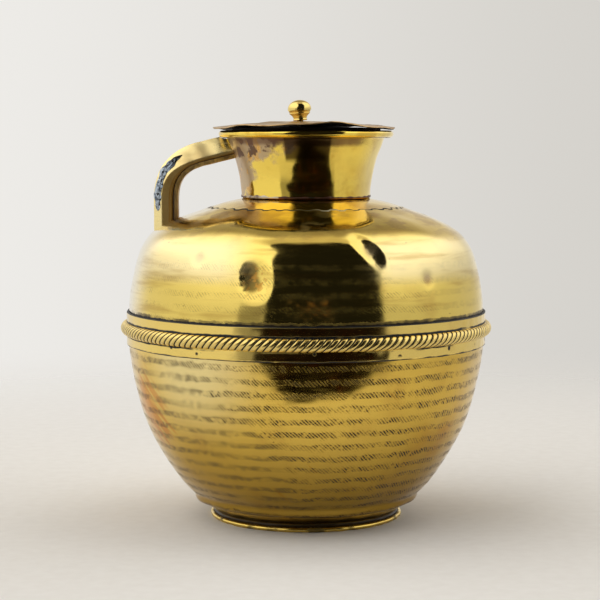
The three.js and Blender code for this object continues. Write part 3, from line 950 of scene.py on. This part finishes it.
def belt_material():
    surface = worn("belt_brass", (0.84, 0.62, 0.17, 1), 0.12, 90, 0.6)
    ragged = (noise(surface.place, 90, 94, detail=5) - 0.5) * 2.4 * MM
    height = surface.z + ragged
    grime = noise(surface.place, 18, 95, detail=4)
    above = height.near(ROPE_HEIGHT + 5.2 * MM, 1.1 * MM, 1.9 * MM) * grime.rise(0.28, 0.4)
    surface.cover(above, BLUE_BLACK, 0.5, 0.3)
    below = height.near(ROPE_HEIGHT - 5.6 * MM, 0.5 * MM, 1.1 * MM) * grime.rise(0.46, 0.56)
    surface.cover(below, rgb(20, 17, 10), 0.6, 0.2)
    blobs = specks(surface.place, 90, 0.2, 96) * height.near(ROPE_HEIGHT - 7.5 * MM, 2 * MM, 4 * MM)
    surface.cover(blobs, rgb(20, 17, 10), 0.6, 0.2)
    surface.cover(surface.z.rise(BELT_TOP - 1.1 * MM, BELT_TOP - 0.5 * MM), BLUE_BLACK, 0.5, 0.3)
    surface.cover(height.fall(BELT_BOTTOM + 0.5 * MM, BELT_BOTTOM + 1.3 * MM), BLUE_BLACK, 0.5, 0.3)
    return surface.done()


def rope_material():
    surface = worn("rope_brass", (0.82, 0.62, 0.2, 1), 0.2, 100, 0.2)
    # Painted shade: the grooves between the strands near black.
    surface.cover(surface.attribute("groove").rise(0.06, 0.3), rgb(24, 18, 8), 0.5, 0.3)
    return surface.done()


def wire_material(name, seed):
    surface = worn(name, (0.80, 0.58, 0.14, 1), 0.18, seed, 0.3)
    surface.cover(noise(surface.place, 50, seed + 8, detail=4).rise(0.55, 0.68) * 0.8, GRIME, 0.5, 0.5)
    return surface.done()


def add_belt():
    add_piece("belt", belt_mesh(), belt_material(), "pot", "belt_band", 30)
    add_piece("rope", rope_mesh(), rope_material(), "pot", "rope_moulding", 60)


def add_rim_wire():
    radius = RIM_ROLL - THIN_SHEET - 0.3 * MM

    def section(turns):
        return np.full_like(turns, radius), np.full_like(turns, radius)

    mesh = tube_mesh("rim_wire_round", RIM_RADIUS, RIM_HEIGHT, section, 240)
    material = wire_material("rim_wire_brass", 110)
    add_piece("rim_wire_round", mesh, material, "pot", "rim_wire")


def add_foot_wire():
    def section(turns):
        lump = 0.35 * MM * np.exp(-(wrapped(turns - math.radians(41.5)) / 0.05) ** 2)
        uneven = 0.08 * MM * np.sin(23 * turns) + 0.06 * MM * np.sin(37 * turns + 1)
        half = FOOT_WIRE_RADIUS - 0.15 * MM + uneven + lump
        return half, np.minimum(half, FOOT_WIRE_RADIUS)

    mesh = tube_mesh("foot_wire_round", FOOT_WIRE_REACH, FOOT_WIRE_RADIUS, section, 480, 0.25 * MM, 5)
    material = wire_material("foot_wire_brass", 120)
    add_piece("foot_wire_round", mesh, material, "pot", "foot_wire")


def foot_material(end):
    surface = worn("foot_brass", (0.75, 0.52, 0.12, 1), 0.2, 130, 0.3)
    ragged = (noise(surface.place, 60, 136, detail=4) - 0.5) * 2.5 * MM
    along = surface.attribute("along") + ragged
    surface.cover(along.rise(end - 1.6 * MM, end - 0.4 * MM), GRIME, 0.5, 0.3)
    surface.cover(along.fall(1 * MM, 3 * MM), GRIME, 0.5, 0.3)
    # Painted shade: the foot strip darker and browner towards its bottom.
    surface.cover(surface.z.fall(8 * MM, 16 * MM) * 0.8, rgb(48, 32, 4), 0.4)
    return surface.done()


def add_foot_strip():
    line = smooth_line(cad_outline("foot_ring")[1:-1], 0.7 * MM)
    relief = rippled(FOOT_WIRE_REACH, (61, 22, 0.15))
    mesh = sheet_mesh("foot_strip", line, SHEET, 480, relief, inner_step=1)
    material = foot_material(lengths(line)[-1])
    add_piece("foot_strip", mesh, material, "pot", "foot_ring")


# ---------------------------------------------------------------- handle
HANDLE_REACH = 116.1 * MM
HANDLE_NECK_END = np.array([-50, 310.7]) * MM
HANDLE_SLOPE = 0.246
HANDLE_BEND = 30 * MM
HANDLE_FOOT_HEIGHT = 228 * MM
# The outer strip's front half in the handle's section: across it, and away from the pot, in millimetres.
LEG_HALF = [(9.5, -5.6), (9.5, 3.2), (4.6, 10)]
ARM_HALF = [(9.5, -6.0), (9.5, -3.4), (1.6, 10)]
LINER_HALF = [(-9.2, -6.0), (-7.4, -10.2)]
WALL_OVERLAP = 0.3 * MM  # how far the handle's ends go into the pot's wall
SOLDER_START = 0.41  # the solder repair's ends, as fractions of the handle's length
SOLDER_END = 0.79
CRACK_HEIGHT = 296.5 * MM  # above here the split is still open, and black


def handle_path(spacing):
    """The handle's middle line in the plane of x and z: a falling arm, a round elbow, an upright leg."""
    drop = (HANDLE_REACH + HANDLE_NECK_END[0]) * HANDLE_SLOPE
    corner = np.array([-HANDLE_REACH, HANDLE_NECK_END[1] - drop])
    arm = (corner - HANDLE_NECK_END) / np.linalg.norm(corner - HANDLE_NECK_END)
    bend_start = corner - arm * HANDLE_BEND
    bend_end = corner - np.array([0, HANDLE_BEND])
    share = np.linspace(0, 1, 30)[:, None]
    elbow = (1 - share) ** 2 * bend_start + 2 * share * (1 - share) * corner + share ** 2 * bend_end
    return evenly([HANDLE_NECK_END, *elbow, (-HANDLE_REACH, HANDLE_FOOT_HEIGHT)], spacing)


def wall_radius(height):
    """How far out the pot's wall is at a height, where the handle meets it."""
    reach = RIM_RADIUS + RIM_ROLL
    under_rim = [(reach, RIM_HEIGHT - RIM_ROLL), (reach, RIM_HEIGHT + RIM_ROLL)]
    flank = neck_line[neck_line[:, 1] < RIM_HEIGHT - RIM_ROLL - 0.5 * MM]
    flank = flank[:np.argmax(flank[:, 1]) + 1]
    wall = np.vstack([shoulder_line, crown_line[crown_line[:, 0] > flank[0, 0]], flank, under_rim])
    return np.interp(height, wall[:, 1], wall[:, 0])


def rounded(corners, radius, flat_steps=5, bend_steps=3):
    """A line through corners, each cut to a small arc, with as many points however long its sides."""
    corners = np.asarray(corners, float)
    bends = [corners[:1]]
    share = np.linspace(0, 1, bend_steps + 1)[:, None]
    for before, corner, after in zip(corners, corners[1:], corners[2:]):
        start = corner + (before - corner) / np.linalg.norm(before - corner) * radius
        end = corner + (after - corner) / np.linalg.norm(after - corner) * radius
        bends.append((1 - share) ** 2 * start + 2 * share * (1 - share) * corner + share ** 2 * end)
    bends.append(corners[-1:])
    points = []
    for bend, following in zip(bends, bends[1:]):
        points.extend(bend)
        flat = np.linspace(0, 1, flat_steps + 1)[1:-1, None]
        points.extend(bend[-1] + (following[0] - bend[-1]) * flat)
    return np.array([*points, corners[-1]])


def mirrored(half):
    """A section across the handle from its front half."""
    return [*half, *[(-across, away) for across, away in half[::-1]]]


def arm_share(fraction):
    """How far the handle's section is the arm's, at a fraction of its length from the neck."""
    return 1 - smoothstep(0.36, 0.66, fraction)


def handle_strip(name, leg_half, arm_half, seed, stations=170):
    """A folded sheet along the handle's path, whose section changes from the arm's to the leg's."""
    leg, arm = (rounded(np.array(mirrored(half)) * MM, 0.7 * MM) for half in (leg_half, arm_half))
    path = handle_path(0.5 * MM)
    normal = side_normals(path)
    along = lengths(path)
    on_arm = arm_share(along / along[-1])[:, None, None]
    sections = leg * (1 - on_arm) + arm * on_arm
    wave = ripples(seed, 14 * MM, 20 * MM)
    girth = lengths(leg)
    swell = 0.06 * MM * wave(girth[None, :] / (20 * MM), along[:, None])[..., None]
    outward = np.stack([side_normals(section) for section in sections])
    faces = []
    for depth in (0, SHEET):
        shape = sections + outward * (swell - depth)
        x = path[:, :1] + normal[:, :1] * shape[..., 1]
        z = path[:, 1:] + normal[:, 1:] * shape[..., 1]
        clear = np.hypot(x, shape[..., 0]) - wall_radius(z) + WALL_OVERLAP
        points = np.stack([x, -shape[..., 0], z], axis=-1)
        faces.append(trimmed(points, clear, along, stations))
    inwards = np.minimum(girth, girth[-1] - girth)
    from_edge = np.concatenate([inwards, [0], inwards[::-1], [0]])
    attributes = {"from_edge": np.tile(from_edge, stations)}
    return ring_mesh(name, strip_outline(*faces, SHEET), closed=False, cap=strip_cap, attributes=attributes)


def trimmed(points, clear, along, stations):
    """Each lengthwise line of a swept surface, cut where it goes into the pot's wall."""
    middle = len(along) // 2
    lines = []
    for column in range(points.shape[1]):
        blocked = clear[:, column] < 0
        first = middle - np.argmax(blocked[middle::-1])
        last = middle + np.argmax(blocked[middle:])
        wanted = np.linspace(along[first], along[last], stations)
        kept = [np.interp(wanted, along, points[:, column, axis]) for axis in range(3)]
        lines.append(np.stack(kept, axis=1))
    return np.stack(lines, axis=1)


def solder_mesh():
    """Lumpy solder along the front bevel, round the elbow: thin at its ends and pitted."""
    path = handle_path(0.5 * MM)
    normal = side_normals(path)
    along = lengths(path)
    angles = np.linspace(0, FULL_TURN, 24, endpoint=False)
    lumps, pits = ripples(75, 9 * MM, 10 * MM), ripples(76, 3.5 * MM, 10 * MM)
    rings = []
    for share in np.linspace(0, 1, 130):
        fraction = SOLDER_START + (SOLDER_END - SOLDER_START) * share
        distance = fraction * along[-1]
        on_arm = arm_share(fraction)
        bottom, top = (np.array(LEG_HALF[i]) * (1 - on_arm) + np.array(ARM_HALF[i]) * on_arm for i in (1, 2))
        bevel_along = (top - bottom) / np.linalg.norm(top - bottom)
        bevel_out = np.array([bevel_along[1], -bevel_along[0]])
        size = min(1, 5 * share, 8 * (1 - share)) ** 0.7 + 0.02
        ragged = 1 + 0.3 * lumps(angles, distance) * np.abs(np.cos(angles))
        width = 2.7 * size * ragged
        height = (0.75 + 0.22 * lumps(angles, distance + 1) + 0.16 * pits(angles, distance)) * size
        middle = (top + bottom) / 2 + bevel_along * (1.7 * on_arm - 0.2)
        section = MM * (middle + bevel_along * (width * np.cos(angles))[:, None]
                        + bevel_out * (height * np.sin(angles) + 0.15)[:, None])
        x, z = (np.interp(distance, along, path[:, i]) for i in range(2))
        nx, nz = (np.interp(distance, along, normal[:, i]) for i in range(2))
        rings.append(np.stack([x + nx * section[:, 1], -section[:, 0], z + nz * section[:, 1]], axis=1))
    return ring_mesh("solder_repair", rings, closed=False)


def solder_material():
    surface = Surface("solder_grey", rgb(168, 182, 196), 0.45, 0.55)
    tone = noise(surface.place, 140, 190, detail=5)
    surface.cover(tone.rise(0.35, 0.7), rgb(196, 206, 214), 0.4)
    surface.cover(noise(surface.place, 190, 192, detail=4).rise(0.5, 0.62) * 0.8, rgb(78, 88, 102), 0.5)
    surface.cover(noise(surface.place, 300, 191, detail=3).rise(0.54, 0.62), rgb(16, 16, 16), 0.7, 0.0)
    # Painted shade: the solder near black above CRACK_HEIGHT, for the open split.
    surface.cover(surface.z.rise(CRACK_HEIGHT, CRACK_HEIGHT + 2 * MM), rgb(14, 12, 9), 0.7, 0.0)
    surface.lift(tone * 0.3 * MM)
    return surface.done()


def add_handle():
    shell = worn("handle_brass", (0.9, 0.74, 0.34, 1), 0.26, 140, 0.35)
    seam = shell.attribute("from_edge") + (noise(shell.place, 120, 146, detail=3) - 0.5) * 1.2 * MM
    shell.cover(seam.fall(0.7 * MM, 1.5 * MM), rgb(24, 18, 10), 0.5, 0.3)
    shell.cover(seam.near(2.2 * MM, 0.4 * MM, 1.0 * MM) * 0.6, rgb(196, 118, 24), 0.3)
    # Painted light: the handle's side faces made paler, against the dark room they mirror.
    lightened_side_face = shell.attribute("from_edge").fall(8.2 * MM, 9 * MM)
    shell.cover(lightened_side_face * 0.6, rgb(176, 128, 34), 0.5, 0.55)
    stained = noise(shell.place, 90, 147, detail=4).rise(0.5, 0.6)
    shell.cover(shell.spot(-96, 309 * MM, 2 * MM, 9 * MM) * stained, rgb(92, 62, 44), 0.4)
    outer = handle_strip("handle_outer", LEG_HALF, ARM_HALF, 71)
    add_piece("handle_outer", outer, shell.done(), "pot", "handle_shell", 30)
    liner = worn("liner_brass", (0.7, 0.52, 0.24, 1), 0.45, 150, 0.5)
    fibrous = noise(liner.place, (300.0, 300.0, 40.0), 156, detail=4)
    liner.cover(fibrous.rise(0.45, 0.6) * 0.6, rgb(150, 126, 110), 0.4)
    liner.cover(liner.attribute("from_edge").fall(0.5 * MM, 1.2 * MM), rgb(24, 18, 10), 0.5, 0.3)
    add_piece("handle_inner", handle_strip("handle_inner", LINER_HALF, LINER_HALF, 72), liner.done(), "pot",
              "handle_liner", 30)
    add_piece("solder_repair", solder_mesh(), solder_material(), "pot", "handle_solder_repair", 60)


# ---------------------------------------------------------------- lid
lid_low, lid_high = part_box("lid_plate")
LID_CENTRE = (lid_low.x + lid_high.x) / 2
LID_RADIUS = (lid_high.x - lid_low.x) / 2
LID_CROWN = 6.5 * MM
LID_FACETS = 48  # corners round the CAD plate's rim
KNOB_TILT = math.radians(-4)
KNOB_HOLE_RADIUS = 2.8 * MM
KNOB_SEAT = Vector((sum(corner.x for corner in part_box("knob_rove")) / 2, 0, lid_high.z))


def lid_edge_heights(turns):
    """The height of the lid's upper edge at each turn, drawn smoothly through the CAD plate's rim."""
    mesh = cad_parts["lid_plate"].data
    rim = {}
    for vertex in mesh.vertices:
        x, y, z = vertex.co.x - LID_CENTRE, vertex.co.y, vertex.co.z
        if math.hypot(x, y) > 0.99 * LID_RADIUS:
            facet = round(math.atan2(x, -y) / FULL_TURN * LID_FACETS) % LID_FACETS
            rim[facet] = max(rim.get(facet, 0), z)
    waves = np.fft.rfft([rim[facet] for facet in range(LID_FACETS)]) / LID_FACETS
    order = np.arange(len(waves))
    scale = np.where((order == 0) | (order == LID_FACETS // 2), 1, 2)
    steps = order * turns[:, None]
    return (scale * (waves.real * np.cos(steps) - waves.imag * np.sin(steps))).sum(axis=1)


def lid_mesh():
    turns = turns_of(420)
    shares = np.linspace(KNOB_HOLE_RADIUS / LID_RADIUS, 1, 62)
    edge = lid_edge_heights(turns)
    low = lid_high.z - LID_CROWN
    wave, fine = ripples(81, 30 * MM, LID_RADIUS), ripples(82, 9 * MM, LID_RADIUS)
    angle, share = np.meshgrid(turns, shares, indexing="ij")
    ragged = 0.004 * np.sin(9 * turns + 1) + 0.003 * np.sin(23 * turns) + 0.002 * np.sin(41 * turns + 2)
    radius = share * LID_RADIUS * (1 + (ragged[:, None] - 0.006) * share ** 6)
    height = low + LID_CROWN * (1 - share ** 2) + (edge - low)[:, None] * share ** 4
    height += (0.2 * MM * wave(angle, radius) + 0.04 * MM * fine(angle, radius)) * smoothstep(0.1, 0.4, share)
    outer = np.stack([LID_CENTRE + radius * np.sin(angle), -radius * np.cos(angle), height], axis=-1)
    inner = outer - [0, 0, THIN_SHEET]
    # under marks the plate's underside, which lid_material paints in shade.
    under = np.concatenate([np.zeros(len(shares)), [0.5], np.ones(len(shares)), [0.5]])
    return ring_mesh("lid_sheet", strip_outline(outer, inner, THIN_SHEET),
                     attributes={"under": np.tile(under, len(turns))})


# The knob's shank and foot below its ball, as radius and height above the lid, in millimetres.
KNOB_FOOT = [(0, -3.7), (2.6, -3.7), (3.6, -3.0), (3.6, -2.6), (2.5, -2.5), (2.5, 0.4), (5.6, 0.65),
             (6.0, 1.3), (5.6, 2.1), (5.8, 3.3), (6.6, 4.6), (8.4, 6.2), (8.9, 6.8), (8.5, 7.2), (8.7, 7.6),
             (9.2, 8.0), (9.3, 8.5), (8.8, 8.7)]
KNOB_BALL_SIZE = (9.9, 7.6)  # half its width and half its height, in millimetres
KNOB_BALL_HEIGHT = 10.0
KNOB_COLUMNS = 96


def knob_mesh():
    ball = arc((0, 0), 1, -9, 90, 16) * KNOB_BALL_SIZE + [0, KNOB_BALL_HEIGHT]
    ball[-1, 0] = 0
    line = np.vstack([evenly(KNOB_FOOT, 0.35), evenly(ball, 0.35)]) * MM
    turns = turns_of(KNOB_COLUMNS)
    outline = np.broadcast_to(line, (KNOB_COLUMNS, *line.shape)).copy()
    outline[..., 0] *= (1 + 0.012 * np.sin(2 * turns + 1) + 0.006 * np.sin(5 * turns))[:, None]
    mesh = ring_mesh("knob", spin(outline, turns))
    tilt = np.array([[math.cos(KNOB_TILT), 0, math.sin(KNOB_TILT)], [0, 1, 0],
                     [-math.sin(KNOB_TILT), 0, math.cos(KNOB_TILT)]])
    for vertex in mesh.vertices:
        vertex.co = Vector(tilt @ np.array(vertex.co)) + KNOB_SEAT
    return mesh


def rove_mesh():
    """The washer under the lid, its outer edge rounded."""
    low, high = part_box("knob_rove")
    half = (high.z - low.z) / 2
    outer_radius = (high.x - low.x) / 2 - half
    rounded_edge = arc((outer_radius, (high.z + low.z) / 2), half, -90, 90, 8)
    hole = [(KNOB_HOLE_RADIUS, high.z), (KNOB_HOLE_RADIUS, low.z)]
    outline = evenly([*rounded_edge, *hole, rounded_edge[0]], 0.3 * MM)[:-1]
    outlines = np.broadcast_to(outline, (KNOB_COLUMNS, *outline.shape))
    mesh = ring_mesh("rove", spin(outlines, turns_of(KNOB_COLUMNS)))
    for vertex in mesh.vertices:
        vertex.co.x += KNOB_SEAT.x
    return mesh


def lid_material():
    surface = worn("lid_brass", (0.6, 0.42, 0.2, 1), 0.3, 160, 0.5)
    streaks = noise(surface.place, (25.0, 160.0, 160.0), 166, detail=5)
    surface.cover(streaks.rise(0.45, 0.62) * 0.6, rgb(170, 140, 104), 0.42)
    surface.cover(streaks.fall(0.36, 0.48) * 0.6, rgb(112, 72, 44), 0.4)
    # Painted shade: the lid's underside near black.
    surface.cover(surface.attribute("under").rise(0.6, 0.9), rgb(22, 14, 8), 0.8, 0.2)
    return surface.done()


def add_sleeve():
    low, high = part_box("lid_sleeve")
    line = evenly([(high.x, low.z), (high.x, high.z)], 1.2 * MM)
    mesh = sheet_mesh("sleeve", line, THIN_SHEET, 240, rippled(high.x, (91, 20, 0.12)), inner_step=1)
    # Painted shade: the sleeve is brass coloured near black, as it sits in the shade under the lid.
    material = worn("sleeve_painted_shade", (0.03, 0.02, 0.01, 1), 0.6, 170, 0.1, 0.6).done()
    add_piece("sleeve", mesh, material, "lid", "lid_sleeve")


def add_lid():
    add_piece("lid_sheet", lid_mesh(), lid_material(), "lid", "lid_plate")
    add_sleeve()
    knob = worn("knob_brass", (0.84, 0.64, 0.2, 1), 0.1, 180, 0.1).done()
    add_piece("knob", knob_mesh(), knob, "lid", "lid_knob", 35)
    rove = worn("rove_brass", (0.6, 0.42, 0.16, 1), 0.35, 186, 0.5).done()
    add_piece("rove", rove_mesh(), rove, "lid", "knob_rove")


add_camera()
light_the_world()
add_lamp()
add_floor()
add_dark_room_floor()
add_bowl()
add_shoulder()
add_crown()
add_neck()
add_belt()
add_rim_wire()
add_foot_wire()
add_foot_strip()
add_handle()
add_lid()

scene = bpy.context.scene
scene.view_settings.view_transform = "Standard"
